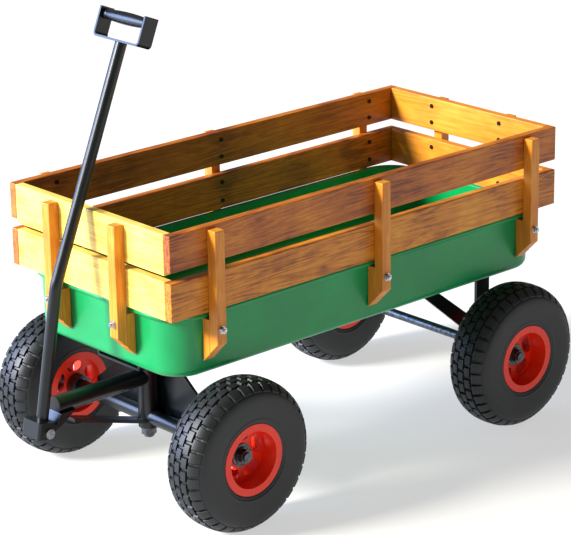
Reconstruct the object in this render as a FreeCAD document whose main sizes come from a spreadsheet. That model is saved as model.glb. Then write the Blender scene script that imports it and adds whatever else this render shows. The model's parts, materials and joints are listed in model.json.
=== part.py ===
import FreeCAD, Part
import math
import os
import Sketcher

# A hand-pulled garden cart: steel tray with timber rails, a steering front axle
# with a pull handle, a fixed rear axle and four pneumatic wheels.
# Millimetres, +Z up, +X the cart's left, the handle at the -Y end.
# The origin is on the ground under the middle of the whole cart.

doc = FreeCAD.newDocument("garden_cart")
dims = doc.addObject("Spreadsheet::Sheet", "dims")

driving = {
    # timber rails
    "rails_shift": 53,        # middle of the rails, behind the origin
    "rails_half_length": 446,
    "rails_half_width": 208,
    "slat_thick": 16,
    "slat_edge": 1.5,         # eased edges of the timber
    "rail_top": 520,
    "upper_low": 459,
    "lower_top": 441,
    "front_upper_low": 452,
    "front_lower_top": 442,
    "lower_low": 377,
    # posts and the blocks behind them
    "stake_width": 20,
    "stake_top": 515,
    "stake_foot": 326,        # outer foot, a 45 degree cut runs inwards from here
    "block_top": 364,
    "side_stake_first": -360,
    "side_stake_pitch": 366,
    "end_stake_across": 85,
    "stake_bolt_level": 350,
    "stake_bolt_radius": 3,
    "stake_bolt_head": 6.5,
    "stake_bolt_head_thick": 3,
    "stake_bolt_tail": 8.5,   # thread beyond the post, for the nut and washer
    "stake_nut_radius": 5.8,
    "stake_nut_thick": 5,
    "stake_washer": 1.2,
    "head_seat": 3.6,         # bolt head's seat on the tray's inner face, from the block
    "screw_radius": 1.8,
    "screw_inset": 15,        # screw to the slat's edge
    "screw_head": 4,
    "screw_head_thick": 1.5,
    "screw_grip": 12,         # the screw's length in the post
    "hole_play": 0.1,         # radial play of a bolt in its hole
    "seat_play": 0.02,        # the same where a piece is pressed or screwed in
    "bolt_drill_past": 8,     # a drill's run beyond the timber
    "head_sunk": 0.1,         # depth of the flush bolts' heads below the tray's bed
    "bed_bolt_radius": 4,
    "bed_drill_below": 20,
    "bed_drill_run": 30,
    "sink_over": 1,           # the countersink's cone above the tray's bed
    # bolts and nuts, each as a multiple of the bolt's radius
    "head_radius_ratio": 2.1,
    "head_thick_ratio": 0.9,
    "nut_radius_ratio": 1.8,
    "nut_thick_ratio": 1.6,
    "washer_thick_ratio": 0.3,
    "tail_ratio": 2.2,        # the shank beyond the grip
    "washer_over_nut": 1.15,  # washer's radius, as a multiple of its nut's
    "bracket_bolt_across": 67.5,
    "bracket_bolt_along": 40,
    "web_bolt_across": 90,
    "tab_bolt_across": 138,
    # steel tray
    "tray_low": 264,
    "tray_rim": 372,
    "tray_half_width": 192,
    "tray_half_length": 430,
    "tray_corner": 60,
    "tray_draft": 1.5,
    "tray_round": 14,
    "tray_sheet": 2,
    "bead_radius": 5,
    "bead_lap": 1,            # the bead's overlap with the wall
    "bead_drop": 2,           # its middle below the rim
    # wheels
    "axle_level": 130,
    "wheel_track": 228.7,     # wheel's middle plane from the cart's middle
    "front_axle_back": -280.4,
    "rear_axle_back": 367.3,
    "tyre_radius": 130,
    "tyre_half_width": 42.7,
    "tyre_wall": 6,
    "tyre_seat": 0.1,         # the bead's clearance from the rim
    "tyre_lip": 1,            # the bead's outer edge beyond the rim's flange
    "foot_rise": 8,           # lower sidewall above the flange
    "foot_wide": 0.95,        # widths as a part of the tyre's half width
    "wall_rise": 24,          # the widest stretch of the sidewall
    "wall_drop": 26,
    "shoulder_drop": 9,
    "shoulder_wide": 0.92,
    "tread_drop": 2,
    "tread_wide": 0.66,
    "crown_wide": 0.3,
    "tube_section": 27,
    "valve_radius": 3,
    "valve_out": 20,
    "valve_tip": 33,
    "valve_foot": 75,
    "valve_drill_inside": 12,
    "valve_drill_run": 20,
    "rim_radius": 61,
    "rim_half_width": 39.5,
    "barrel_radius": 51,
    "rim_sheet": 2.5,
    "outer_disc": 6,          # disc planes from the wheel's middle plane
    "inner_disc": -26,
    "disc_lap": 1,            # the discs' overlap with the barrel
    "opening_centre": 34,
    "opening_radius": 10,
    "opening_half_run": 6,
    "hub_radius": 19.5,
    "hub_inner_end": -45.7,
    "hub_outer_end": 10.3,
    "bearing_radius": 14,
    "bearing_width": 11,
    "bearing_recess": 3,
    "bearing_shoulder": 2,    # the hub's bore between the bearings is this much narrower
    "axle_radius": 8.2,
    "axle_end": 254,
    "axle_nut_radius": 12.5,
    "axle_nut_thick": 9,
    "axle_washer": 2,
    "nut_gap": 0.5,           # end play between the hub and its nut
    "spacer_wall": 3.5,
    "fit_play": 0.05,         # radial play of a running fit
    # front undercarriage
    "bracket_half_width": 78,
    "bracket_half_length": 60,
    "bracket_web": 54,
    "bracket_thick": 4,
    "bracket_low": 240,
    "frame_top": 238,
    "frame_reach": 24,        # top flange ahead of the kingpin
    "web_front": 17,          # web's front face behind the kingpin
    "web_thick": 5,
    "web_top_half": 47,
    "web_foot_half": 160,
    "web_knee": 151,
    "web_foot": 122,
    "flange_lap": 8,          # front edge of the web's foot behind the kingpin
    "beam_radius": 13,
    "beam_half": 182.3,
    "boss_radius": 17.5,
    "boss_low": 112,
    "bore_past": 1,           # a bore's run beyond each end of the boss
    "kingpin_radius": 8,
    "kingpin_play": 0.08,
    "kingpin_low": 93,
    "thrust_radius": 24,
    "thrust_play": 0.1,       # gap above and below the thrust washer
    "kingpin_head_thick": 9,
    "kingpin_root": 2,        # the pin's length inside its head
    "kingpin_nut_radius": 13,
    "kingpin_nut_thick": 12,
    "stub_inner": 30,         # inner end of each front stub shaft
    # tongue and its lug
    "tongue_level": 203,
    "tongue_radius": 15,
    "tongue_wall": 2.5,
    "tongue_front": -475,
    "lug_half_width": 18,
    "lug_radius": 9,
    "lug_foot": 33,           # the lug's lower edge ends this far ahead of the tube
    "lug_rise": 5,            # its slanted edge meets the tube's end above the pivot
    "lug_lap": 30,            # its run back under the tube
    "lug_root": 10,           # its upper edge below the tube's middle
    "lug_neck": 19,           # its upper edge leaves the rounded end here
    "pivot_back": -504,
    "pivot_level": 168,
    "pivot_radius": 4,
    "brace_half_width": 12.5,
    "brace_thick": 6,
    "brace_low": 118,
    "brace_front": -445,
    "brace_high": 168,
    # rear undercarriage
    "leg_centre": 156,
    "leg_thick": 6,
    "leg_half_width": 16,
    "leg_foot": 112,
    "rear_brace_thick": 5,
    "rear_brace_half": 13,
    "rear_brace_low_back": 361,
    "rear_brace_low_level": 158,
    "rear_brace_top_back": 233,
    "brace_foot_fore": 10,    # the rear brace's lower end round its bolt
    "brace_foot_aft": 8,
    "brace_foot_drop": 12,
    "brace_shoulder_aft": 10,
    "brace_shoulder_rise": 8,
    "brace_head_fore": 16,    # its upper end under the tray
    "brace_head_aft": 12,
    "brace_head_deep": 6,
    "tab_run": 30,
    "tab_bolt_back": 218,
    # handle
    "tube_radius": 10,
    "tube_wall": 2,
    "bend_back": -461,
    "bend_level": 405,
    "bend_radius": 60,
    "neck_back": -309.3,
    "neck_level": 779,
    "yoke_half_width": 22.5,
    "yoke_wall": 4,
    "yoke_roof": 14,
    "yoke_front": 22,
    "yoke_back": 9,
    "yoke_skirt": 10,
    "loop_half_width": 57.5,
    "loop_tall": 50,
    "loop_strap": 28,
    "loop_sheet": 3.5,
    "loop_corner": 8,
    "grip_level": 39,
    "grip_rod": 5,
    "grip_half": 53.5,
    "grip_middle": 10.5,
    "grip_end": 7.5,
}

for row, (alias, value) in enumerate(driving.items(), start=1):
    dims.set("A%d" % row, str(value))
    dims.setAlias("A%d" % row, alias)
doc.recompute()

parts = []


def size(expression):
    """The present value of an expression written with the sheet's aliases."""
    return float(dims.evalExpression(bound(expression)))


def bound(expression):
    """The expression with every alias spelt as a cell of the sheet."""
    words = []
    word = ""
    for sign in str(expression) + " ":
        if sign.isalnum() or sign == "_":
            word += sign
        else:
            words.append("dims." + word if word in driving else word)
            words.append(sign)
            word = ""
    return "".join(words).strip()


def bind(thing, prop, expression):
    """Ties one property to the sheet."""
    thing.setExpression(prop, bound(expression))


def place(thing, x="0", y="0", z="0", axis=None, turn=0):
    """Puts a thing where the sheet says, turned about one axis."""
    if axis is not None:
        thing.Placement = FreeCAD.Placement(FreeCAD.Vector(), FreeCAD.Rotation(FreeCAD.Vector(*axis), turn))
    for letter, expression in zip("xyz", (x, y, z)):
        bind(thing, "Placement.Base." + letter, expression)


def keep(thing, label):
    """Makes a thing a part of the cart, with a node of its own."""
    thing.Label = label
    parts.append(thing)
    return thing


def body(name):
    return doc.addObject("PartDesign::Body", name)


def new_sketch(owner, name, role, offset="0"):
    """An empty sketch on one of the body's own origin planes."""
    sketch = owner.newObject("Sketcher::SketchObject", name)
    plane = [item for item in owner.Origin.OriginFeatures if item.Role == role][0]
    sketch.AttachmentSupport = [(plane, "")]
    sketch.MapMode = "FlatFace"
    bind(sketch, "AttachmentOffset.Base.z", offset)
    return sketch


def fix_point(sketch, geometry, end, place_x, place_y):
    """Holds one point of a sketch at a place given by two expressions."""
    for kind, expression in (("DistanceX", place_x), ("DistanceY", place_y)):
        number = sketch.addConstraint(Sketcher.Constraint(kind, -1, 1, geometry, end, size(expression)))
        bind(sketch, "Constraints[%d]" % number, expression)


def polygon(owner, name, role, corners, offset="0"):
    """A closed outline of straight edges whose corners follow the sheet."""
    sketch = new_sketch(owner, name, role, offset)
    points = [FreeCAD.Vector(size(a), size(b), 0) for a, b in corners]
    count = len(points)
    first = sketch.GeometryCount
    for index in range(count):
        sketch.addGeometry(Part.LineSegment(points[index], points[(index + 1) % count]), False)
    for index, (a, b) in enumerate(corners):
        following = first + (index + 1) % count
        sketch.addConstraint(Sketcher.Constraint("Coincident", first + index, 2, following, 1))
        fix_point(sketch, first + index, 1, a, b)
    return sketch


def rectangle(owner, name, role, low, high, offset="0"):
    """A rectangle between two corners."""
    corners = [(low[0], low[1]), (high[0], low[1]), (high[0], high[1]), (low[0], high[1])]
    return polygon(owner, name, role, corners, offset)


def circle(owner, name, role, centre, radius, offset="0"):
    """A circle of a bound radius."""
    sketch = new_sketch(owner, name, role, offset)
    middle = FreeCAD.Vector(size(centre[0]), size(centre[1]), 0)
    sketch.addGeometry(Part.Circle(middle, FreeCAD.Vector(0, 0, 1), size(radius)), False)
    fix_point(sketch, 0, 3, *centre)
    number = sketch.addConstraint(Sketcher.Constraint("Radius", 0, size(radius)))
    bind(sketch, "Constraints[%d]" % number, radius)
    return sketch


def pad(owner, sketch, length, both_ways=False):
    feature = owner.newObject("PartDesign::Pad", sketch.Name + "_pad")
    feature.Profile = sketch
    bind(feature, "Length", length)
    feature.Midplane = both_ways
    return feature


def pocket(owner, sketch):
    """Cuts a sketch through the whole body, both ways."""
    feature = owner.newObject("PartDesign::Pocket", sketch.Name + "_pocket")
    feature.Profile = sketch
    feature.Type = "ThroughAll"
    feature.Midplane = True
    return feature


def revolve(owner, sketch):
    """Turns a profile once round the sketch's own X axis."""
    feature = owner.newObject("PartDesign::Revolution", sketch.Name + "_turned")
    feature.Profile = sketch
    feature.ReferenceAxis = (sketch, ["H_Axis"])
    feature.Angle = 360
    return feature


def ease_edges(owner, base, radius):
    """A small round on every edge of a board."""
    feature = owner.newObject("PartDesign::Fillet", base.Name + "_eased")
    feature.Base = (base, [""])
    feature.UseAllEdges = True
    bind(feature, "Radius", radius)
    return feature


def cylinder(name, radius, length, x="0", y="0", z="0", axis=None, turn=0):
    """A round bar along +Z, or turned about an axis."""
    bar = doc.addObject("Part::Cylinder", name)
    bind(bar, "Radius", radius)
    bind(bar, "Height", length)
    place(bar, x, y, z, axis, turn)
    return bar


def fuse(name, *pieces):
    whole = doc.addObject("Part::MultiFuse", name)
    whole.Shapes = list(pieces)
    whole.Refine = True
    return whole


def cut(name, base, tool):
    rest = doc.addObject("Part::Cut", name)
    rest.Base = base
    rest.Tool = tool
    return rest


def group(name, pieces):
    """Separate solids that share one node."""
    whole = doc.addObject("Part::Compound", name)
    whole.Links = list(pieces)
    return whole


def copy_of(master, name, x, y, z, axis=None, turn=0):
    """One more of the same piece, at another place."""
    link = doc.addObject("App::Link", name)
    link.LinkedObject = master
    place(link, x, y, z, axis, turn)
    return link


along_x = ((0, 1, 0), 90)       # turns +Z to +X
against_x = ((0, 1, 0), -90)    # turns +Z to -X
along_y = ((1, 0, 0), -90)      # turns +Z to +Y
against_y = ((1, 0, 0), 90)     # turns +Z to -Y

# Timber rails

# Each post: its node's name, its middle, and the way it faces.
posts = []
for number in range(3):
    where = "rails_shift + side_stake_first + %d * side_stake_pitch" % number
    posts.append(("left", "rails_half_width", where, along_x, 1))
    posts.append(("right", "0 - rails_half_width", where, against_x, -1))
for side in ("0 - end_stake_across", "end_stake_across"):
    posts.append(("front", side, "rails_shift - rails_half_length", against_y, -1))
    posts.append(("rear", side, "rails_shift + rails_half_length", along_y, 1))

# How far a copied post is turned about Z, so that its outer face looks outwards.
facing = {"left": 0, "rear": 90, "right": 180, "front": 270}

# The two slats on each side: node name, lower and upper edge.
slat_levels = {
    "left": {"upper": ("upper_low", "rail_top"), "lower": ("lower_low", "lower_top")},
    "rear": {"upper": ("upper_low", "rail_top"), "lower": ("lower_low", "lower_top")},
    "right": {"upper": ("upper_low", "rail_top"), "lower": ("lower_low", "lower_top")},
    "front": {"upper": ("front_upper_low", "rail_top"), "lower": ("lower_low", "front_lower_top")},
}


def outwards(side, distance):
    """A point at a distance outwards from the rails' outer face on one side."""
    reach = "(%s)" % distance
    return {
        "left": ("rails_half_width + " + reach, None),
        "right": ("0 - rails_half_width - " + reach, None),
        "rear": (None, "rails_shift + rails_half_length + " + reach),
        "front": (None, "rails_shift - rails_half_length - " + reach),
    }[side]


def at_post(post, distance):
    """The same, at one post."""
    side, x, y = post[0], post[1], post[2]
    out_x, out_y = outwards(side, distance)
    return (out_x or x, out_y or y)


screw_places = []
for post in posts:
    for level in ("upper", "lower"):
        low, high = slat_levels[post[0]][level]
        screw_places.append((post, low + " + screw_inset"))
        screw_places.append((post, high + " - screw_inset"))

# Drills for the screws and for the bolts of the posts.
screw_drills = []
for index, (post, level) in enumerate(screw_places):
    x, y = at_post(post, "0 - slat_thick - 1")
    screw_drills.append(cylinder("screw_drill_%d" % index, "screw_radius + fit_play",
                                 "slat_thick + screw_grip + 1 + fit_play", x, y, level, *post[3]))
screw_drill = group("screw_drill", screw_drills)

bolt_drills = []
for index, post in enumerate(posts):
    x, y = at_post(post, "0 - slat_thick - bolt_drill_past")
    bolt_drills.append(cylinder("bolt_drill_%d" % index, "stake_bolt_radius + hole_play",
                                "slat_thick + stake_width + 1.5 * bolt_drill_past", x, y,
                                "stake_bolt_level", *post[3]))
bolt_drill = group("bolt_drill", bolt_drills)
timber_drill = group("timber_drill", [screw_drill, bolt_drill])


def slat(side, level):
    """One board of the rails."""
    low, high = slat_levels[side][level]
    name = side + "_slat_" + level
    board = body(name + "_board")
    if side in ("left", "right"):
        sign = "" if side == "left" else "0 - "
        edges = sorted((sign + "rails_half_width", sign + "(rails_half_width - slat_thick)"), key=size)
        outline = rectangle(board, name + "_end", "XZ_Plane", (edges[0], low), (edges[1], high))
        feature = pad(board, outline, "2 * rails_half_length", True)
        place(board, "0", "rails_shift")
    else:
        sign = "" if side == "rear" else "0 - "
        edges = sorted((sign + "rails_half_length", sign + "(rails_half_length - slat_thick)"), key=size)
        outline = rectangle(board, name + "_end", "YZ_Plane", (edges[0], low), (edges[1], high))
        feature = pad(board, outline, "2 * (rails_half_width - slat_thick)", True)
        place(board, "0", "rails_shift")
    ease_edges(board, feature, "slat_edge")
    keep(cut(name, board, timber_drill), name)


for side in ("front", "rear", "left", "right"):
    for level in ("upper", "lower"):
        slat(side, level)

# One post, standing on the +X side of a rail's outer face, its foot cut at 45 degrees.
stake = body("stake")
stake_outline = polygon(stake, "stake_outline", "XZ_Plane", [
    ("0", "stake_foot - stake_width"),
    ("stake_width", "stake_foot"),
    ("stake_width", "stake_top"),
    ("0", "stake_top"),
])
ease_edges(stake, pad(stake, stake_outline, "stake_width", True), "slat_edge")

# The block behind it carries the same cut on to the tray's wall.
block = body("block")
block_outline = polygon(block, "block_outline", "XZ_Plane", [
    ("0 - slat_thick", "stake_foot - stake_width - slat_thick"),
    ("0", "stake_foot - stake_width"),
    ("0", "block_top"),
    ("0 - slat_thick", "block_top"),
])
ease_edges(block, pad(block, block_outline, "stake_width", True), "slat_edge / 2")

# Bolt with a round head inside the tray, along +X, its shank's seat at x = 0.
stake_bolt = fuse(
    "stake_bolt",
    cylinder("stake_bolt_shank", "stake_bolt_radius",
             "head_seat + slat_thick + stake_width + stake_bolt_tail", "0", "0", "0", *along_x),
    cylinder("stake_bolt_head", "stake_bolt_head", "stake_bolt_head_thick", "0 - stake_bolt_head_thick",
             "0", "0", *along_x),
)


def nut(name, radius, thick, bore, washer):
    """A hexagon nut and its washer along +X, the washer's face at x = 0."""
    hexagon = doc.addObject("Part::Prism", name + "_hexagon")
    hexagon.Polygon = 6
    bind(hexagon, "Circumradius", radius)
    bind(hexagon, "Height", thick + " + " + washer)
    place(hexagon, "0", "0", "0", *along_x)
    disc = cylinder(name + "_washer", radius + " * washer_over_nut", washer, "0", "0", "0", *along_x)
    hole = cylinder(name + "_hole", bore, "2 * (" + thick + " + " + washer + ")", "0 - " + thick,
                    "0", "0", *along_x)
    return cut(name, fuse(name + "_solid", hexagon, disc), hole)


stake_nut = nut("stake_nut", "stake_nut_radius", "stake_nut_thick", "stake_bolt_radius + seat_play",
                "stake_washer")

# Screw with a flat head, along +X, its head's seat at x = 0.
slat_screw = fuse(
    "slat_screw",
    cylinder("slat_screw_shank", "screw_radius", "slat_thick + screw_grip", "0", "0", "0", *along_x),
    cylinder("slat_screw_head", "screw_head", "screw_head_thick", "0 - screw_head_thick",
             "0", "0", *along_x),
)

about_z = (0, 0, 1)
for side in ("front", "rear", "left", "right"):
    own_posts = [post for post in posts if post[0] == side]
    stake_copies = []
    block_copies = []
    for index, post in enumerate(own_posts):
        x, y = at_post(post, "0")
        stake_copies.append(copy_of(stake, "%s_stake_%d" % (side, index), x, y, "0", about_z, facing[side]))
        block_copies.append(copy_of(block, "%s_block_%d" % (side, index), x, y, "0", about_z, facing[side]))
    keep(cut(side + "_stakes", group(side + "_stake_group", stake_copies), timber_drill), side + "_stakes")
    keep(cut(side + "_blocks", group(side + "_block_group", block_copies), timber_drill), side + "_blocks")

bolt_copies = []
nut_copies = []
for index, post in enumerate(posts):
    x, y = at_post(post, "0 - slat_thick - head_seat")
    bolt_copies.append(copy_of(stake_bolt, "stake_bolt_%d" % index, x, y, "stake_bolt_level",
                               about_z, facing[post[0]]))
    x, y = at_post(post, "stake_width")
    nut_copies.append(copy_of(stake_nut, "stake_nut_%d" % index, x, y, "stake_bolt_level",
                              about_z, facing[post[0]]))
keep(group("stake_bolts", bolt_copies), "stake_bolts")
keep(group("stake_nuts", nut_copies), "stake_nuts")

screw_copies = []
for index, (post, level) in enumerate(screw_places):
    x, y = at_post(post, "0 - slat_thick")
    screw_copies.append(copy_of(slat_screw, "slat_screw_%d" % index, x, y, level, about_z, facing[post[0]]))
keep(group("slat_screws", screw_copies), "slat_screws")

# Tray

def rounded_rectangle(owner, name, half_x, half_y, corner, offset):
    """A rounded rectangle about the origin, on the XY plane."""
    sketch = new_sketch(owner, name, "XY_Plane", offset)
    short_x = half_x + " - (" + corner + ")"
    short_y = half_y + " - (" + corner + ")"
    ends = [
        (("0 - (" + short_x + ")", "0 - (" + half_y + ")"), (short_x, "0 - (" + half_y + ")")),
        ((half_x, "0 - (" + short_y + ")"), (half_x, short_y)),
        ((short_x, half_y), ("0 - (" + short_x + ")", half_y)),
        (("0 - (" + half_x + ")", short_y), ("0 - (" + half_x + ")", "0 - (" + short_y + ")")),
    ]
    centres = [(1, -1), (1, 1), (-1, 1), (-1, -1)]
    for start, finish in ends:
        sketch.addGeometry(Part.LineSegment(FreeCAD.Vector(size(start[0]), size(start[1]), 0),
                                            FreeCAD.Vector(size(finish[0]), size(finish[1]), 0)), False)
    radius = size(corner)
    for index, (side_x, side_y) in enumerate(centres):
        middle = FreeCAD.Vector(side_x * size(short_x), side_y * size(short_y), 0)
        ring = Part.Circle(middle, FreeCAD.Vector(0, 0, 1), radius)
        sketch.addGeometry(Part.ArcOfCircle(ring, (index - 1) * math.pi / 2, index * math.pi / 2), False)
    for index, (start, finish) in enumerate(ends):
        fix_point(sketch, index, 1, *start)
        fix_point(sketch, index, 2, *finish)
        sketch.addConstraint(Sketcher.Constraint("Coincident", index, 2, 4 + index, 1))
        sketch.addConstraint(Sketcher.Constraint("Coincident", 4 + index, 2, (index + 1) % 4, 1))
        side_x = centres[index][0]
        across = short_x if side_x > 0 else "0 - (" + short_x + ")"
        number = sketch.addConstraint(Sketcher.Constraint("DistanceX", -1, 1, 4 + index, 3, size(across)))
        bind(sketch, "Constraints[%d]" % number, across)
    return sketch


def tray_block(name, inset):
    """The tray's drafted form as a solid block, its walls and floor moved inwards."""
    block_body = body(name)
    outline = rounded_rectangle(block_body, name + "_outline", "tray_half_width - " + inset,
                                "tray_half_length - " + inset, "tray_corner - " + inset, "tray_rim")
    feature = pad(block_body, outline, "tray_rim - tray_low - " + inset)
    feature.Reversed = True
    bind(feature, "TaperAngle", "0 - tray_draft")
    doc.recompute()
    floor = feature.Shape.BoundBox.ZMin
    edges = ["Edge%d" % (number + 1) for number, edge in enumerate(feature.Shape.Edges)
             if edge.BoundBox.ZMax < floor + 1]
    bottom = block_body.newObject("PartDesign::Fillet", name + "_bottom")
    bottom.Base = (feature, edges)
    bind(bottom, "Radius", "tray_round - " + inset)
    return block_body


bead_body = body("tray_bead")
bead_path = rounded_rectangle(bead_body, "bead_path", "tray_half_width + bead_radius - bead_lap",
                              "tray_half_length + bead_radius - bead_lap",
                              "tray_corner + bead_radius - bead_lap",
                              "tray_rim - bead_drop")
bead_end = circle(bead_body, "bead_end", "XZ_Plane",
                  ("tray_half_width + bead_radius - bead_lap", "tray_rim - bead_drop"), "bead_radius")
bead = bead_body.newObject("PartDesign::AdditivePipe", "bead_pipe")
bead.Profile = bead_end
bead.Spine = (bead_path, [])
tray_shell = cut("tray_shell", tray_block("tray_outside", "0"), tray_block("tray_inside", "tray_sheet"))
tray_pressing = fuse("tray_pressing", tray_shell, bead_body)
place(tray_pressing, "0", "rails_shift")

# Bolts that hold the undercarriage to the tray: name, x, y and the plate's thickness.
bed_bolts = {"front_bracket_bolts": [], "chassis_bolts": []}
for side in ("0 - ", ""):
    for end in ("-", "+"):
        along = "front_axle_back %s bracket_bolt_along" % end
        bed_bolts["front_bracket_bolts"].append((side + "bracket_bolt_across", along, "bracket_thick"))
    bed_bolts["chassis_bolts"].append((side + "web_bolt_across", "rear_axle_back", "leg_thick"))
    bed_bolts["chassis_bolts"].append((side + "tab_bolt_across", "tab_bolt_back", "rear_brace_thick"))

bed_drills = []
for name, bolts in bed_bolts.items():
    for index, (x, y, thick) in enumerate(bolts):
        bed_drills.append(cylinder("%s_drill_%d" % (name, index), "bed_bolt_radius + hole_play",
                                   "bed_drill_run", x, y, "tray_low - bed_drill_below"))
        sink = doc.addObject("Part::Cone", "%s_sink_%d" % (name, index))
        bind(sink, "Radius1", "bed_bolt_radius + seat_play")
        bind(sink, "Radius2", "2 * bed_bolt_radius + sink_over + seat_play")
        bind(sink, "Height", "bed_bolt_radius + sink_over")
        place(sink, x, y, "tray_low + tray_sheet - bed_bolt_radius")
        bed_drills.append(sink)
bed_drill = group("bed_drill", bed_drills)
tray_drill = group("tray_drill", [bed_drill, bolt_drill])
keep(cut("tray", tray_pressing, tray_drill), "tray")


def through_bolt(name, radius, grip, flush=False):
    """A bolt and its nut along +X: the head's seat at x = 0, the nut's washer at the grip.

    A flush bolt has a countersunk head below that seat, and any other a round head above it.
    """
    head_thick = "head_thick_ratio * " + radius
    if flush:
        shank = cylinder(name + "_shank", radius, grip + " + tail_ratio * " + radius, radius, "0", "0",
                         *along_x)
        head = doc.addObject("Part::Cone", name + "_head")
        bind(head, "Radius1", "2 * %s - head_sunk" % radius)
        bind(head, "Radius2", radius)
        bind(head, "Height", radius + " - head_sunk")
        place(head, "head_sunk", "0", "0", *along_x)
    else:
        shank = cylinder(name + "_shank", radius, grip + " + (1 + tail_ratio) * " + radius, "0", "0", "0",
                         *along_x)
        head = cylinder(name + "_head", "head_radius_ratio * " + radius, head_thick,
                        "0 - " + head_thick, "0", "0", *along_x)
    own_nut = nut(name + "_nut", "nut_radius_ratio * " + radius, "nut_thick_ratio * " + radius,
                  radius + " + seat_play", "washer_thick_ratio * " + radius)
    moved = copy_of(own_nut, name + "_nut_place", grip, "0", "0")
    return group(name, [fuse(name + "_solid", shank, head), moved])


masters = {}
for thick in ("bracket_thick", "leg_thick", "rear_brace_thick"):
    masters[thick] = through_bolt("bed_bolt_" + thick, "bed_bolt_radius", "tray_sheet + " + thick, flush=True)
downwards = ((0, 1, 0), 90)      # turns +X to -Z
bolt_groups = {}
for name, bolts in bed_bolts.items():
    copies = []
    for index, (x, y, thick) in enumerate(bolts):
        copies.append(copy_of(masters[thick], "%s_%d" % (name, index), x, y, "tray_low + tray_sheet",
                              *downwards))
    bolt_groups[name] = copies
keep(group("front_bracket_bolts", bolt_groups["front_bracket_bolts"]), "front_bracket_bolts")

# Front undercarriage


def mirrored(corners):
    """An outline given for +X, closed with its mirror image."""
    return corners + [("0 - (" + a + ")", b) for a, b in reversed(corners)]


bracket = body("front_bracket_bent")
bracket_outline = polygon(bracket, "bracket_outline", "XZ_Plane", mirrored([
    ("bracket_web", "bracket_low"),
    ("bracket_web + bracket_thick", "tray_low - bracket_thick"),
    ("bracket_half_width", "tray_low - bracket_thick"),
    ("bracket_half_width", "tray_low"),
    ("bracket_web", "tray_low"),
    ("bracket_web - bracket_thick", "bracket_low + bracket_thick"),
]))
pad(bracket, bracket_outline, "2 * bracket_half_length", True)
place(bracket, "0", "front_axle_back")
pin_drill = cylinder("pin_drill", "kingpin_radius + hole_play", "2 * bed_drill_run", "0",
                     "front_axle_back", "bracket_low - bed_drill_below")
keep(cut("front_bracket", bracket, group("bracket_drill", [bed_drill, pin_drill])), "front_bracket")

# The front frame: a web plate behind the kingpin's boss, a flange on top of both, the web's
# foot turned forwards on to the axle's beam, and the boss.
web = body("front_frame_web")
web_outline = polygon(web, "web_outline", "XZ_Plane", mirrored([
    ("web_top_half", "frame_top"),
    ("web_foot_half", "web_knee"),
    ("web_foot_half", "web_foot"),
]))
pad(web, web_outline, "web_thick", True)
place(web, "0", "front_axle_back + web_front + web_thick / 2")


def flange(name, half_width, reach, low):
    """A strip of plate that runs forwards from the web's rear face."""
    strip = doc.addObject("Part::Box", name)
    bind(strip, "Length", "2 * " + half_width)
    bind(strip, "Width", "web_front + web_thick + (" + reach + ")")
    bind(strip, "Height", "web_thick")
    place(strip, "0 - " + half_width, "front_axle_back - (" + reach + ")", low)
    return strip


top_flange = flange("top_flange", "web_top_half", "frame_reach", "frame_top - web_thick")
foot_flange = flange("foot_flange", "web_foot_half", "0 - flange_lap", "web_foot")
beam = cylinder("front_beam", "beam_radius", "2 * beam_half", "0 - beam_half", "front_axle_back",
                "axle_level", *along_x)
boss = cylinder("kingpin_boss", "boss_radius", "frame_top - boss_low", "0", "front_axle_back", "boss_low")
boss_bore = cylinder("boss_bore", "kingpin_radius + kingpin_play", "frame_top - boss_low + 2 * bore_past",
                     "0", "front_axle_back", "boss_low - bore_past")
stub_bores = []
stubs = []
for side, way in (("", along_x), ("0 - ", against_x)):
    name = "left" if side == "" else "right"
    stub_bores.append(cylinder(name + "_stub_bore", "axle_radius + seat_play", "axle_end",
                               side + "stub_inner", "front_axle_back", "axle_level", *way))
    stubs.append(cylinder(name + "_stub", "axle_radius", "axle_end - stub_inner", side + "stub_inner",
                          "front_axle_back", "axle_level", *way))
keep(cut("front_axle_frame",
         fuse("front_frame_solid", web, top_flange, foot_flange, beam, boss),
         group("front_frame_bores", [boss_bore] + stub_bores)), "front_axle_frame")
keep(group("front_axle", stubs), "front_axle")

washer_disc = cylinder("thrust_disc", "thrust_radius", "bracket_low - frame_top - 2 * thrust_play",
                       "0", "front_axle_back", "frame_top + thrust_play")
keep(cut("thrust_washer", washer_disc, pin_drill), "thrust_washer")

kingpin_shaft = cylinder("kingpin_shaft", "kingpin_radius",
                         "bracket_low + bracket_thick + kingpin_root - kingpin_low", "0",
                         "front_axle_back", "kingpin_low")
kingpin_head = cylinder("kingpin_head", "1.5 * kingpin_radius", "kingpin_head_thick", "0",
                        "front_axle_back", "bracket_low + bracket_thick")
kingpin_nut = nut("kingpin_nut", "kingpin_nut_radius", "kingpin_nut_thick", "kingpin_radius + seat_play",
                  "axle_washer")
place(kingpin_nut, "0", "front_axle_back", "boss_low - 3 * thrust_play", *downwards)
keep(group("kingpin", [fuse("kingpin_solid", kingpin_shaft, kingpin_head), kingpin_nut]), "kingpin")

# Tongue

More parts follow.
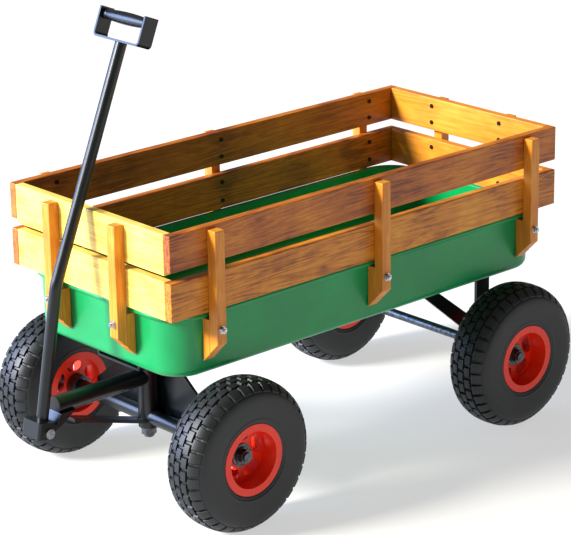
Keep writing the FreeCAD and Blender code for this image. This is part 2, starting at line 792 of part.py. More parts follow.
lug = body("tongue_lug")
lug_outline = polygon(lug, "lug_outline", "YZ_Plane", [
    ("pivot_back", "pivot_level - lug_radius"),
    ("tongue_front - lug_foot", "pivot_level - lug_radius"),
    ("tongue_front", "pivot_level + lug_rise"),
    ("tongue_front + lug_lap", "tongue_level - lug_root"),
    ("tongue_front", "tongue_level - lug_root"),
    ("pivot_back + lug_neck", "pivot_level + lug_radius"),
    ("pivot_back", "pivot_level + lug_radius"),
])
pad(lug, lug_outline, "2 * lug_half_width", True)
lug_end = cylinder("lug_end", "lug_radius", "2 * lug_half_width", "0 - lug_half_width", "pivot_back",
                   "pivot_level", *along_x)
tongue_run = "front_axle_back - tongue_front"
tongue_bar = cylinder("tongue_bar", "tongue_radius", tongue_run, "0", "front_axle_back", "tongue_level",
                      *against_y)
tongue_hollow = cylinder("tongue_hollow", "tongue_radius - tongue_wall", tongue_run + " - tongue_wall", "0",
                         "front_axle_back", "tongue_level", *against_y)
boss_cope = cylinder("boss_cope", "boss_radius + seat_play", "tray_low", "0", "front_axle_back", "0")
pivot_bore = cylinder("pivot_bore", "pivot_radius + fit_play", "4 * lug_half_width",
                      "0 - 2 * lug_half_width", "pivot_back", "pivot_level", *along_x)
tongue_pipe = cut("tongue_pipe", tongue_bar, tongue_hollow)
tongue_solid = fuse("tongue_solid", tongue_pipe, lug, lug_end)
tongue = cut("tongue", tongue_solid, group("tongue_bores", [boss_cope, pivot_bore]))
keep(tongue, "tongue")

strut = body("brace_bar")
strut_outline = polygon(strut, "strut_outline", "YZ_Plane", [
    ("front_axle_back", "brace_low"),
    ("brace_front", "brace_high"),
    ("brace_front", "brace_high + brace_thick"),
    ("front_axle_back", "brace_low + brace_thick"),
])
pad(strut, strut_outline, "2 * brace_half_width", True)
keep(cut("tongue_brace", strut, fuse("brace_neighbours", tongue_solid, boss_cope, beam)), "tongue_brace")

# Rear undercarriage

arch = body("rear_arch")
arch_outline = polygon(arch, "arch_outline", "XZ_Plane", mirrored([
    ("leg_centre + leg_thick / 2", "tray_low"),
    ("leg_centre + leg_thick / 2", "leg_foot"),
    ("leg_centre - leg_thick / 2", "leg_foot"),
    ("leg_centre - leg_thick / 2", "tray_low - leg_thick"),
]))
pad(arch, arch_outline, "2 * leg_half_width", True)
place(arch, "0", "rear_axle_back")
rear_bore = cylinder("rear_bore", "axle_radius + seat_play", "2 * axle_end", "0 - axle_end", "rear_axle_back",
                     "axle_level", *along_x)
leg_drill = cylinder("leg_drill", "bed_bolt_radius + hole_play", "2 * axle_end", "0 - axle_end",
                     "rear_brace_low_back", "rear_brace_low_level", *along_x)
rear_drill = group("rear_drill", [rear_bore, leg_drill, bed_drill])
keep(cut("rear_axle_frame", arch, rear_drill), "rear_axle_frame")

brace_face = "leg_centre - leg_thick / 2 - rear_brace_thick"
braces = []
for side in ("left", "right"):
    sign = "" if side == "left" else "0 - "
    bar = body(side + "_brace_bar")
    outline = polygon(bar, side + "_brace_outline", "YZ_Plane", [
        ("rear_brace_low_back + brace_foot_aft", "rear_brace_low_level - brace_foot_drop"),
        ("rear_brace_low_back + brace_shoulder_aft", "rear_brace_low_level + brace_shoulder_rise"),
        ("rear_brace_top_back + brace_head_aft", "tray_low"),
        ("rear_brace_top_back - brace_head_fore", "tray_low"),
        ("rear_brace_top_back - brace_head_fore", "tray_low - brace_head_deep"),
        ("rear_brace_low_back - brace_foot_fore", "rear_brace_low_level - brace_foot_drop"),
    ], sign + "(" + brace_face + " + rear_brace_thick / 2)")
    pad(bar, outline, "rear_brace_thick", True)
    tab = doc.addObject("Part::Box", side + "_brace_tab")
    bind(tab, "Length", "2 * rear_brace_half")
    bind(tab, "Width", "tab_run")
    bind(tab, "Height", "rear_brace_thick")
    tab_end = brace_face + " + rear_brace_thick"
    tab_x = tab_end + " - 2 * rear_brace_half" if side == "left" else "0 - (" + tab_end + ")"
    place(tab, tab_x, "tab_bolt_back - tab_run / 2", "tray_low - rear_brace_thick")
    braces.append(cut(side + "_brace", fuse(side + "_brace_solid", bar, tab), rear_drill))
keep(group("rear_braces", braces), "rear_braces")

leg_bolt = through_bolt("leg_bolt", "bed_bolt_radius", "leg_thick + rear_brace_thick")
leg_face = "leg_centre + leg_thick / 2"
leg_bolts = [
    copy_of(leg_bolt, "left_leg_bolt", leg_face, "rear_brace_low_back",
            "rear_brace_low_level", about_z, 180),
    copy_of(leg_bolt, "right_leg_bolt", "0 - (" + leg_face + ")", "rear_brace_low_back",
            "rear_brace_low_level", about_z, 0),
]
keep(group("chassis_bolts", bolt_groups["chassis_bolts"] + leg_bolts), "chassis_bolts")
keep(cylinder("rear_axle", "axle_radius", "2 * axle_end", "0 - axle_end", "rear_axle_back", "axle_level",
              *along_x), "rear_axle")

spacers = []
for side, way in (("", along_x), ("0 - ", against_x)):
    name = "left" if side == "" else "right"
    tube = cylinder(name + "_spacer_tube", "axle_radius + spacer_wall", "beam_half - (" + leg_face + ")",
                    side + "(" + leg_face + ")", "rear_axle_back", "axle_level", *way)
    spacers.append(cut(name + "_spacer", tube, rear_bore))
keep(group("rear_spacers", spacers), "rear_spacers")

axle_nut = nut("axle_nut", "axle_nut_radius", "axle_nut_thick", "axle_radius + seat_play", "axle_washer")
for end in ("front", "rear"):
    copies = []
    for side, turn in (("", 0), ("0 - ", 180)):
        name = end + ("_left" if side == "" else "_right") + "_axle_nut"
        copies.append(copy_of(axle_nut, name, side + "(wheel_track + hub_outer_end + nut_gap)",
                              end + "_axle_back", "axle_level", about_z, turn))
    keep(group(end + "_axle_nuts", copies), end + "_axle_nuts")

# Wheels
# Each wheel is drawn about its own middle, +X outwards along the axle.


def wheel_place(thing, end, side):
    """Puts a piece of a wheel on its axle, its outer side away from the cart."""
    sign, turn = ("", 0) if side == "left" else ("0 - ", 180)
    place(thing, sign + "wheel_track", end + "_axle_back", "axle_level", about_z, turn)


def turned(name, outlines):
    """A body turned about the axle from closed profiles of (along the axle, radius)."""
    owner = body(name)
    for index, corners in enumerate(outlines):
        revolve(owner, polygon(owner, "%s_profile_%d" % (name, index), "XZ_Plane", corners))
    return owner


def tyre_outline(inset):
    """Half of the tyre's section, from the bead round the shoulder to the crown."""
    wide = "(tyre_half_width - " + inset + ")"
    return [
        ("rim_half_width - rim_sheet - tyre_seat - " + inset, "barrel_radius + tyre_seat"),
        ("rim_half_width - rim_sheet - tyre_seat - " + inset, "rim_radius + tyre_lip"),
        (wide + " * foot_wide", "rim_radius + foot_rise"),
        (wide, "rim_radius + wall_rise"),
        (wide, "tyre_radius - wall_drop"),
        (wide + " * shoulder_wide", "tyre_radius - shoulder_drop - " + inset),
        (wide + " * tread_wide", "tyre_radius - tread_drop - " + inset),
    ]


def tyre(name, end, side):
    half = tyre_outline("0")
    hollow = tyre_outline("tyre_wall")
    far = [("0 - (" + a + ")", b) for a, b in half]
    far_hollow = [("0 - (" + a + ")", b) for a, b in hollow]
    crown = [("tyre_half_width * crown_wide", "tyre_radius")]
    far_crown = [("0 - (" + crown[0][0] + ")", "tyre_radius")]
    outline = half + crown + far_crown + far[::-1] + far_hollow + hollow[::-1]
    owner = turned(name, [outline])
    wheel_place(owner, end, side)
    keep(owner, name)


def inner_tube(name, end, side):
    ring = doc.addObject("Part::Torus", name + "_ring")
    bind(ring, "Radius1", "(barrel_radius + tyre_radius) / 2")
    bind(ring, "Radius2", "tube_section")
    place(ring, "0", "0", "0", *along_x)
    valve = cylinder(name + "_valve", "valve_radius", "valve_foot - valve_tip", "valve_out", "0", "valve_tip")
    whole = fuse(name + "_whole", ring, valve)
    wheel_place(whole, end, side)
    keep(whole, name)


def rim(name, end, side):
    owner = turned(name + "_pressing", [
        [
            ("0 - rim_half_width", "barrel_radius - rim_sheet"),
            ("rim_half_width", "barrel_radius - rim_sheet"),
            ("rim_half_width", "rim_radius"),
            ("rim_half_width - rim_sheet", "rim_radius"),
            ("rim_half_width - rim_sheet", "barrel_radius"),
            ("0 - rim_half_width + rim_sheet", "barrel_radius"),
            ("0 - rim_half_width + rim_sheet", "rim_radius"),
            ("0 - rim_half_width", "rim_radius"),
        ],
        [
            ("outer_disc - rim_sheet / 2", "hub_radius + fit_play"),
            ("outer_disc + rim_sheet / 2", "hub_radius + fit_play"),
            ("outer_disc + rim_sheet / 2", "barrel_radius - disc_lap"),
            ("outer_disc - rim_sheet / 2", "barrel_radius - disc_lap"),
        ],
        [
            ("inner_disc - rim_sheet / 2", "hub_radius + fit_play"),
            ("inner_disc + rim_sheet / 2", "hub_radius + fit_play"),
            ("inner_disc + rim_sheet / 2", "barrel_radius - disc_lap"),
            ("inner_disc - rim_sheet / 2", "barrel_radius - disc_lap"),
        ],
    ])
    doc.recompute()
    opening = new_sketch(owner, name + "_opening", "YZ_Plane")
    level = FreeCAD.Vector(0, size("opening_centre"), 0)
    run = FreeCAD.Vector(size("opening_half_run"), 0, 0)
    reach = size("opening_radius")
    up = FreeCAD.Vector(0, reach, 0)
    for middle, start in ((level + run, -math.pi / 2), (level - run, math.pi / 2)):
        ring = Part.Circle(middle, FreeCAD.Vector(0, 0, 1), reach)
        opening.addGeometry(Part.ArcOfCircle(ring, start, start + math.pi), False)
    opening.addGeometry(Part.LineSegment(level + run + up, level - run + up), False)
    opening.addGeometry(Part.LineSegment(level - run - up, level + run - up), False)
    for first, end_a, second, end_b in ((0, 2, 2, 1), (2, 2, 1, 1), (1, 2, 3, 1), (3, 2, 0, 1)):
        opening.addConstraint(Sketcher.Constraint("Tangent", first, end_a, second, end_b))
    fix_point(opening, 0, 3, "opening_half_run", "opening_centre")
    fix_point(opening, 1, 3, "0 - opening_half_run", "opening_centre")
    number = opening.addConstraint(Sketcher.Constraint("Radius", 0, reach))
    bind(opening, "Constraints[%d]" % number, "opening_radius")
    cutter = pocket(owner, opening)
    ring_of_five = owner.newObject("PartDesign::PolarPattern", name + "_openings")
    ring_of_five.Originals = [cutter]
    ring_of_five.Axis = (opening, ["N_Axis"])
    ring_of_five.Angle = 360
    ring_of_five.Occurrences = 5
    owner.Tip = ring_of_five
    valve_hole = cylinder(name + "_valve_hole", "valve_radius + 3 * hole_play", "valve_drill_run",
                          "valve_out", "0", "barrel_radius - valve_drill_inside")
    whole = cut(name + "_whole", owner, valve_hole)
    wheel_place(whole, end, side)
    keep(whole, name)


def hub(name, end, side):
    seat = "bearing_recess + bearing_width"
    owner = turned(name, [[
        ("hub_inner_end", "bearing_radius + seat_play"),
        ("hub_inner_end + " + seat, "bearing_radius + seat_play"),
        ("hub_inner_end + " + seat, "bearing_radius - bearing_shoulder"),
        ("hub_outer_end - (" + seat + ")", "bearing_radius - bearing_shoulder"),
        ("hub_outer_end - (" + seat + ")", "bearing_radius + seat_play"),
        ("hub_outer_end", "bearing_radius + seat_play"),
        ("hub_outer_end", "hub_radius"),
        ("hub_inner_end", "hub_radius"),
    ]])
    wheel_place(owner, end, side)
    keep(owner, name)


def bearings(name, end, side):
    rings = []
    for start in ("hub_inner_end + bearing_recess", "hub_outer_end - bearing_recess - bearing_width"):
        rings.append([
            (start, "axle_radius + fit_play"),
            (start + " + bearing_width", "axle_radius + fit_play"),
            (start + " + bearing_width", "bearing_radius"),
            (start, "bearing_radius"),
        ])
    owner = turned(name, rings)
    wheel_place(owner, end, side)
    keep(owner, name)


for end in ("front", "rear"):
    for side in ("left", "right"):
        wheel = end + "_" + side + "_"
        tyre(wheel + "tyre", end, side)
        inner_tube(wheel + "inner_tube", end, side)
        rim(wheel + "rim", end, side)
        hub(wheel + "hub", end, side)
        bearings(wheel + "bearings", end, side)

# Handle

lower_lean = "atan((bend_back - pivot_back) / (bend_level - pivot_level))"
upper_lean = "atan((neck_back - bend_back) / (neck_level - bend_level))"


def lean(thing, angle, y, z):
    """Leans a thing backwards about X by an angle of the sheet."""
    thing.Placement = FreeCAD.Placement(FreeCAD.Vector(), FreeCAD.Rotation(FreeCAD.Vector(-1, 0, 0), 10))
    bind(thing, "Placement.Rotation.Angle", angle)
    for letter, expression in zip("xyz", ("0", y, z)):
        bind(thing, "Placement.Base." + letter, expression)


yoke_cap = body("yoke_cap")
cap_outline = rectangle(yoke_cap, "cap_outline", "XY_Plane", ("0 - yoke_half_width", "0 - yoke_front"),
                        ("yoke_half_width", "yoke_back"), "0 - yoke_skirt")
cap_pad = pad(yoke_cap, cap_outline, "yoke_roof + yoke_wall + yoke_skirt")
doc.recompute()
front_edges = ["Edge%d" % (number + 1) for number, edge in enumerate(cap_pad.Shape.Edges)
               if edge.BoundBox.YMax < 1 - size("yoke_front") and edge.BoundBox.ZLength > 1]
cap_round = yoke_cap.newObject("PartDesign::Fillet", "cap_round")
cap_round.Base = (cap_pad, front_edges)
bind(cap_round, "Radius", "yoke_wall")
yoke_room = doc.addObject("Part::Box", "yoke_room")
bind(yoke_room, "Length", "2 * (yoke_half_width - yoke_wall)")
bind(yoke_room, "Width", "yoke_front + yoke_back")
bind(yoke_room, "Height", "yoke_roof + 2 * yoke_skirt")
place(yoke_room, "yoke_wall - yoke_half_width", "yoke_wall - yoke_front", "0 - 2 * yoke_skirt")
yoke_bore = cylinder("yoke_bore", "pivot_radius + fit_play", "4 * yoke_half_width",
                     "0 - 2 * yoke_half_width", "0", "0", *along_x)
handle_yoke = cut("handle_yoke", yoke_cap, group("yoke_cuts", [yoke_room, yoke_bore]))
lean(handle_yoke, lower_lean, "pivot_back", "pivot_level")
keep(handle_yoke, "handle_yoke")

pivot_bolt = through_bolt("pivot_bolt_master", "pivot_radius", "2 * yoke_half_width")
keep(group("pivot_bolt", [copy_of(pivot_bolt, "pivot_bolt_place", "yoke_half_width", "pivot_back",
                                  "pivot_level", about_z, 180)]), "pivot_bolt")

spine = doc.addObject("Sketcher::SketchObject", "tube_spine")
spine.Placement = FreeCAD.Placement(FreeCAD.Vector(), FreeCAD.Rotation(FreeCAD.Vector(1, 1, 1), 120))
roof = "(yoke_roof + yoke_wall)"
foot = ("pivot_back + " + roof + " * sin(" + lower_lean + ")",
        "pivot_level + " + roof + " * cos(" + lower_lean + ")")
half_bend = "bend_radius * tan((" + upper_lean + " - " + lower_lean + ") / 2)"
bend_start = ("bend_back - " + half_bend + " * sin(" + lower_lean + ")",
              "bend_level - " + half_bend + " * cos(" + lower_lean + ")")
bend_finish = ("bend_back + " + half_bend + " * sin(" + upper_lean + ")",
               "bend_level + " + half_bend + " * cos(" + upper_lean + ")")
neck = ("neck_back", "neck_level")
joints = [FreeCAD.Vector(size(a), size(b), 0) for a, b in (foot, bend_start, bend_finish, neck)]
middle_lean = (size(lower_lean) + size(upper_lean)) / 2
spine.addGeometry(Part.LineSegment(joints[0], joints[1]), False)
spine.addGeometry(Part.LineSegment(joints[2], joints[3]), False)
bulge = FreeCAD.Rotation(FreeCAD.Vector(0, 0, 1), -middle_lean).multVec(FreeCAD.Vector(-1, 0, 0))
rise = (joints[2] - joints[1]).Length ** 2 / (8 * size("bend_radius"))
crown = (joints[1] + joints[2]) * 0.5 + bulge * rise
spine.addGeometry(Part.Arc(joints[1], crown, joints[2]), False)
spine.addConstraint(Sketcher.Constraint("Coincident", 0, 2, 2, 2))
spine.addConstraint(Sketcher.Constraint("Coincident", 1, 1, 2, 1))
for geometry, end, (a, b) in ((0, 1, foot), (0, 2, bend_start), (1, 1, bend_finish), (1, 2, neck)):
    fix_point(spine, geometry, end, a, b)
number = spine.addConstraint(Sketcher.Constraint("Radius", 2, size("bend_radius")))
bind(spine, "Constraints[%d]" % number, "bend_radius")


def swept(name, radius):
    """A round bar along the handle's spine."""
    ring = doc.addObject("Part::Circle", name + "_ring")
    bind(ring, "Radius", radius)
    lean(ring, lower_lean, *foot)
    bar = doc.addObject("Part::Sweep", name)
    bar.Sections = [ring]
    bar.Spine = (spine, [])
    bar.Solid = True
    return bar


tube_outside = swept("tube_outside", "tube_radius")
tube_inside = swept("tube_inside", "tube_radius - tube_wall")
keep(cut("handle_tube", tube_outside, tube_inside), "handle_tube")

strap = body("loop_strap_bar")
strap_outline = rectangle(strap, "strap_outline", "XZ_Plane", ("0 - loop_half_width", "0"),
                          ("loop_half_width", "loop_tall"))
strap_pad = pad(strap, strap_outline, "loop_strap", True)
doc.recompute()
low_corners = ["Edge%d" % (number + 1) for number, edge in enumerate(strap_pad.Shape.Edges)
               if edge.BoundBox.ZMax < 1 and edge.BoundBox.YLength > 1 and edge.BoundBox.XLength < 1]
strap_round = strap.newObject("PartDesign::Fillet", "strap_round")
strap_round.Base = (strap_pad, low_corners)
bind(strap_round, "Radius", "loop_corner")
window = body("loop_window")
window_outline = rectangle(window, "window_outline", "XZ_Plane",
                           ("loop_sheet - loop_half_width", "loop_sheet"),
                           ("loop_half_width - loop_sheet", "2 * loop_tall"))
window_pad = pad(window, window_outline, "2 * loop_strap", True)
doc.recompute()
window_corners = ["Edge%d" % (number + 1) for number, edge in enumerate(window_pad.Shape.Edges)
                  if edge.BoundBox.ZMax < size("loop_sheet") + 1 and edge.BoundBox.YLength > 1
                  and edge.BoundBox.XLength < 1]
window_round = window.newObject("PartDesign::Fillet", "window_round")
window_round.Base = (window_pad, window_corners)
bind(window_round, "Radius", "loop_corner - loop_sheet")
grip_rod = cylinder("grip_rod_bar", "grip_rod", "2 * loop_half_width", "0 - loop_half_width", "0",
                    "grip_level", *along_x)
handle_loop = fuse("handle_loop", cut("strap_bent", strap, window), grip_rod)
lean(handle_loop, upper_lean, *neck)
keep(handle_loop, "handle_loop")

grip = body("grip_sleeve")
sleeve = new_sketch(grip, "sleeve_profile", "XZ_Plane")
low_left = FreeCAD.Vector(-size("grip_half"), size("grip_rod + fit_play"), 0)
low_right = FreeCAD.Vector(size("grip_half"), size("grip_rod + fit_play"), 0)
high_left = FreeCAD.Vector(-size("grip_half"), size("grip_end"), 0)
high_right = FreeCAD.Vector(size("grip_half"), size("grip_end"), 0)
sleeve.addGeometry(Part.LineSegment(low_left, low_right), False)
sleeve.addGeometry(Part.LineSegment(low_right, high_right), False)
sleeve.addGeometry(Part.Arc(high_right, FreeCAD.Vector(0, size("grip_middle"), 0), high_left), False)
sleeve.addGeometry(Part.LineSegment(high_left, low_left), False)
for first, end_a, second, end_b in ((0, 2, 1, 1), (1, 2, 2, 1), (2, 2, 3, 1), (3, 2, 0, 1)):
    sleeve.addConstraint(Sketcher.Constraint("Coincident", first, end_a, second, end_b))
fix_point(sleeve, 0, 1, "0 - grip_half", "grip_rod + fit_play")
fix_point(sleeve, 0, 2, "grip_half", "grip_rod + fit_play")
fix_point(sleeve, 1, 2, "grip_half", "grip_end")
fix_point(sleeve, 3, 1, "0 - grip_half", "grip_end")
swell = "(grip_middle - grip_end)"
arc_radius = "(grip_half * grip_half + " + swell + " * " + swell + ") / (2 * " + swell + ")"
number = sleeve.addConstraint(Sketcher.Constraint("Radius", 2, size(arc_radius)))
bind(sleeve, "Constraints[%d]" % number, arc_radius)
revolve(grip, sleeve)
lean(grip, upper_lean, "neck_back + grip_level * sin(" + upper_lean + ")",
     "neck_level + grip_level * cos(" + upper_lean + ")")
keep(grip, "handle_grip")

# Checks and export

doc.recompute()
faults = ["%s %s" % (item.Name, item.State) for item in doc.Objects
          if "Invalid" in item.State or "Error" in item.State]
for part in parts:
    shape = Part.getShape(part)
    if shape.isNull() or not shape.isValid() or not shape.Solids:
        faults.append(part.Label + " has no valid solid")
if faults:
    raise SystemExit("faults: " + "; ".join(faults))
os.makedirs("parts", exist_ok=True)
for part in parts:
    part.Shape.exportStep("parts/%s.step" % part.Label)
print(len(parts), "parts")
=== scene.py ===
import json
import bpy
import numpy as np
from mathutils import Matrix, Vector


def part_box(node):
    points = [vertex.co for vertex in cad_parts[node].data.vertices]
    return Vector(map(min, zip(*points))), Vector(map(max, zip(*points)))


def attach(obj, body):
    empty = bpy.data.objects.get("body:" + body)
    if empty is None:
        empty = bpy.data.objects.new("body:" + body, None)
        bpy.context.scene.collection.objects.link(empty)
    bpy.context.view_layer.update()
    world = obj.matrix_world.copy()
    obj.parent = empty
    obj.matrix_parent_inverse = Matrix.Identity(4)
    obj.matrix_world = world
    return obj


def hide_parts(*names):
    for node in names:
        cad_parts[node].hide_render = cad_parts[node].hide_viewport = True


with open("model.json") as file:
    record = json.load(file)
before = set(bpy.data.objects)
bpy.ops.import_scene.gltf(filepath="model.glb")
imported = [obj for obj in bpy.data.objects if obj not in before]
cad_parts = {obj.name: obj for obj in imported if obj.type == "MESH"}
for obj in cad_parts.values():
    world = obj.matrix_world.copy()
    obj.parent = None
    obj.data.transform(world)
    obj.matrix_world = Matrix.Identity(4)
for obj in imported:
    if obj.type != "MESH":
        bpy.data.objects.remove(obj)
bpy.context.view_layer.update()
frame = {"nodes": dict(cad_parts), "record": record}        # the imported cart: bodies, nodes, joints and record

mm = 0.001
scene = bpy.context.scene
print("frame loaded:", len(frame["nodes"]), "nodes")


def toLinear(hexColour):
    # sRGB to linear: c / 12.92 below 0.04045, else ((c + 0.055) / 1.055) ^ 2.4
    channels = np.array([int(hexColour[i:i + 2], 16) for i in (1, 3, 5)]) / 255
    linear = np.where(channels < 0.04045, channels / 12.92, ((channels + 0.055) / 1.055) ** 2.4)
    return (*linear, 1.0)


def addNode(tree, kind, settings=None, links=None, stops=None):
    # settings fill attributes or input values, links join inputs to other nodes' outputs,
    # stops are a colour ramp's (position, sRGB hex) pairs
    node = tree.nodes.new(kind)
    for number, (position, colour) in enumerate(stops or []):
        elements = node.color_ramp.elements
        element = elements[number] if number < 2 else elements.new(position)
        element.position = position
        element.color = toLinear(colour)
    for key, value in (settings or {}).items():
        if isinstance(key, str) and hasattr(node, key):
            setattr(node, key, value)
        else:
            node.inputs[key].default_value = value
    for key, output in (links or {}).items():
        tree.links.new(output, node.inputs[key])
    return node


def startMaterial(name, shader):
    # a new material with a Principled shader whose uniform values are set on its own sockets
    material = bpy.data.materials.new(name)
    material.use_nodes = True
    tree = material.node_tree
    tree.nodes.clear()
    surface = addNode(tree, "ShaderNodeBsdfPrincipled", shader)
    addNode(tree, "ShaderNodeOutputMaterial", None, {"Surface": surface.outputs[0]})
    place = addNode(tree, "ShaderNodeTexCoord")
    return material, tree, surface, place.outputs["Object"]


def joinSurface(tree, surface, colour, gloss, relief):
    # the three patterns of a material go into its shader
    tree.links.new(colour, surface.inputs["Base Color"])
    tree.links.new(gloss.outputs["Result"], surface.inputs["Roughness"])
    tree.links.new(relief.outputs["Normal"], surface.inputs["Normal"])


timber = {
    "varnish": {"IOR": 1.45, "Coat Weight": 0.08, "Coat Roughness": 0.28},
    "fibre": 2.2 * mm,          # real fibres are finer and would not show
    "figure": 26 * mm,          # width of the flames on a flat-sawn board
    "flameStep": 0.09,          # step of the figure's noise from one flame to the next
    "flameShare": 0.34,
    "blotch": 110 * mm,         # stain takes unevenly over this length
    "blotchShare": 0.52,
    "knot": 210 * mm,           # one knot or so in each such square
    "knotEdge": (0.028, 0.06),  # core and rim of a knot, as parts of that square
    "knotDepth": 0.75,
    "stretch": 0.07,            # the grain is that much finer across the board than along it
    "rough": (0.3, 0.5),
    "raised": 0.25 * mm,        # height of the fibres
}


def stainedPine(name, along, stops, knotShade):
    # pine boards, planed, stained and varnished: soft long streaks, a faint flame figure,
    # uneven stain and a few knots under a satin varnish
    material, tree, surface, place = startMaterial(name, timber["varnish"])
    scale = [1.0, 1.0, 1.0]
    scale["XYZ".index(along)] = timber["stretch"]
    turned = addNode(tree, "ShaderNodeMapping", {"Scale": scale}, {"Vector": place})
    fibres = addNode(tree, "ShaderNodeTexNoise", {
        "Scale": 1 / timber["fibre"], "Detail": 5.0, "Roughness": 0.62}, {"Vector": turned.outputs[0]})
    figure = addNode(tree, "ShaderNodeTexNoise", {
        "Scale": 1 / timber["figure"], "Detail": 3.0, "Distortion": 1.6}, {"Vector": turned.outputs[0]})
    flames = addNode(tree, "ShaderNodeMath", {"operation": "PINGPONG", 1: timber["flameStep"]}, {
        0: figure.outputs["Fac"]})
    flame = addNode(tree, "ShaderNodeMapRange", {"From Max": timber["flameStep"]}, {
        "Value": flames.outputs[0]})
    blotch = addNode(tree, "ShaderNodeTexNoise", {
        "Scale": 1 / timber["blotch"], "Detail": 4.0, "Roughness": 0.6}, {"Vector": place})
    grain = addNode(tree, "ShaderNodeMix", {"Factor": timber["flameShare"]}, {
        "A": fibres.outputs["Fac"], "B": flame.outputs["Result"]})
    tone = addNode(tree, "ShaderNodeMix", {"Factor": timber["blotchShare"]}, {
        "A": grain.outputs[0], "B": blotch.outputs["Fac"]})
    colour = addNode(tree, "ShaderNodeValToRGB", None, {"Fac": tone.outputs[0]}, stops)
    knots = addNode(tree, "ShaderNodeTexVoronoi", {"Scale": 1 / timber["knot"]}, {"Vector": place})
    knot = addNode(tree, "ShaderNodeMapRange", {
        "From Min": timber["knotEdge"][0], "From Max": timber["knotEdge"][1],
        "To Min": timber["knotDepth"], "To Max": 0.0}, {"Value": knots.outputs["Distance"]})
    knotted = addNode(tree, "ShaderNodeMix", {"data_type": "RGBA", 7: toLinear(knotShade)}, {
        0: knot.outputs["Result"], 6: colour.outputs["Color"]})
    gloss = addNode(tree, "ShaderNodeMapRange", {
        "To Min": timber["rough"][0], "To Max": timber["rough"][1]}, {"Value": fibres.outputs["Fac"]})
    relief = addNode(tree, "ShaderNodeBump", {"Strength": 0.3, "Distance": timber["raised"]}, {
        "Height": fibres.outputs["Fac"]})
    joinSurface(tree, surface, knotted.outputs[2], gloss, relief)
    return material


enamel = {
    "paint": {"IOR": 1.45, "Coat Weight": 0.1, "Coat Roughness": 0.12},
    "peel": 2.5 * mm,           # orange peel
    "peelHeight": 0.05 * mm,
    "cloud": 140 * mm,          # slow drift of the paint's depth
    "cloudEdge": (0.3, 0.62),
    "rub": 26 * mm,             # handling marks, seen only in the gloss
}


def sprayedEnamel(name, base, shade, rough, peel):
    # gloss enamel sprayed on steel: even colour, faint orange peel, rub marks in the gloss
    material, tree, surface, place = startMaterial(name, enamel["paint"])
    cloud = addNode(tree, "ShaderNodeTexNoise", {
        "Scale": 1 / enamel["cloud"], "Detail": 5.0, "Roughness": 0.6}, {"Vector": place})
    colour = addNode(tree, "ShaderNodeValToRGB", None, {"Fac": cloud.outputs["Fac"]},
                     list(zip(enamel["cloudEdge"], (shade, base))))
    rubs = addNode(tree, "ShaderNodeTexNoise", {
        "Scale": 1 / enamel["rub"], "Detail": 6.0, "Roughness": 0.7}, {"Vector": place})
    gloss = addNode(tree, "ShaderNodeMapRange", {"To Min": rough[0], "To Max": rough[1]}, {
        "Value": rubs.outputs["Fac"]})
    skin = addNode(tree, "ShaderNodeTexNoise", {"Scale": 1 / enamel["peel"], "Detail": 2.0}, {
        "Vector": place})
    relief = addNode(tree, "ShaderNodeBump", {"Strength": peel, "Distance": enamel["peelHeight"]}, {
        "Height": skin.outputs["Fac"]})
    joinSurface(tree, surface, colour.outputs["Color"], gloss, relief)
    return material


plating = {
    "scratch": 1.1 * mm,        # real scratches are finer and would not show
    "mottleEdge": (0.2, 0.7),
    "raised": 0.05 * mm,
}


def platedSteel(name, light, dark, rough, spangle):
    # zinc plate or drawn bar: metal with soft mottling and fine scratches
    material, tree, surface, place = startMaterial(name, {"Metallic": 1.0})
    mottle = addNode(tree, "ShaderNodeTexVoronoi", {"Scale": 1 / spangle}, {"Vector": place})
    scratch = addNode(tree, "ShaderNodeTexNoise", {
        "Scale": 1 / plating["scratch"], "Detail": 3.0}, {"Vector": place})
    blend = addNode(tree, "ShaderNodeMix", {"Factor": 0.5}, {
        "A": mottle.outputs["Distance"], "B": scratch.outputs["Fac"]})
    colour = addNode(tree, "ShaderNodeValToRGB", None, {"Fac": blend.outputs[0]},
                     list(zip(plating["mottleEdge"], (dark, light))))
    gloss = addNode(tree, "ShaderNodeMapRange", {"To Min": rough[0], "To Max": rough[1]}, {
        "Value": scratch.outputs["Fac"]})
    relief = addNode(tree, "ShaderNodeBump", {"Strength": 0.2, "Distance": plating["raised"]}, {
        "Height": blend.outputs[0]})
    joinSurface(tree, surface, colour.outputs["Color"], gloss, relief)
    return material


rubber = {
    "dust": 42 * mm,            # size of the dusty patches
    "dustEdge": (0.45, 0.78),
    "raised": 0.12 * mm,
}


def mouldedRubber(name, base, dust, rough, grain):
    # vulcanised rubber or soft vinyl: near black, a fine moulded skin, grey dust in patches
    material, tree, surface, place = startMaterial(name, {"IOR": 1.52})
    dirt = addNode(tree, "ShaderNodeTexNoise", {
        "Scale": 1 / rubber["dust"], "Detail": 6.0, "Roughness": 0.65}, {"Vector": place})
    colour = addNode(tree, "ShaderNodeValToRGB", None, {"Fac": dirt.outputs["Fac"]},
                     list(zip(rubber["dustEdge"], (base, dust))))
    gloss = addNode(tree, "ShaderNodeMapRange", {"To Min": rough[0], "To Max": rough[1]}, {
        "Value": dirt.outputs["Fac"]})
    skin = addNode(tree, "ShaderNodeTexNoise", {"Scale": 1 / grain, "Detail": 4.0}, {"Vector": place})
    relief = addNode(tree, "ShaderNodeBump", {"Strength": 0.3, "Distance": rubber["raised"]}, {
        "Height": skin.outputs["Fac"]})
    joinSurface(tree, surface, colour.outputs["Color"], gloss, relief)
    return material


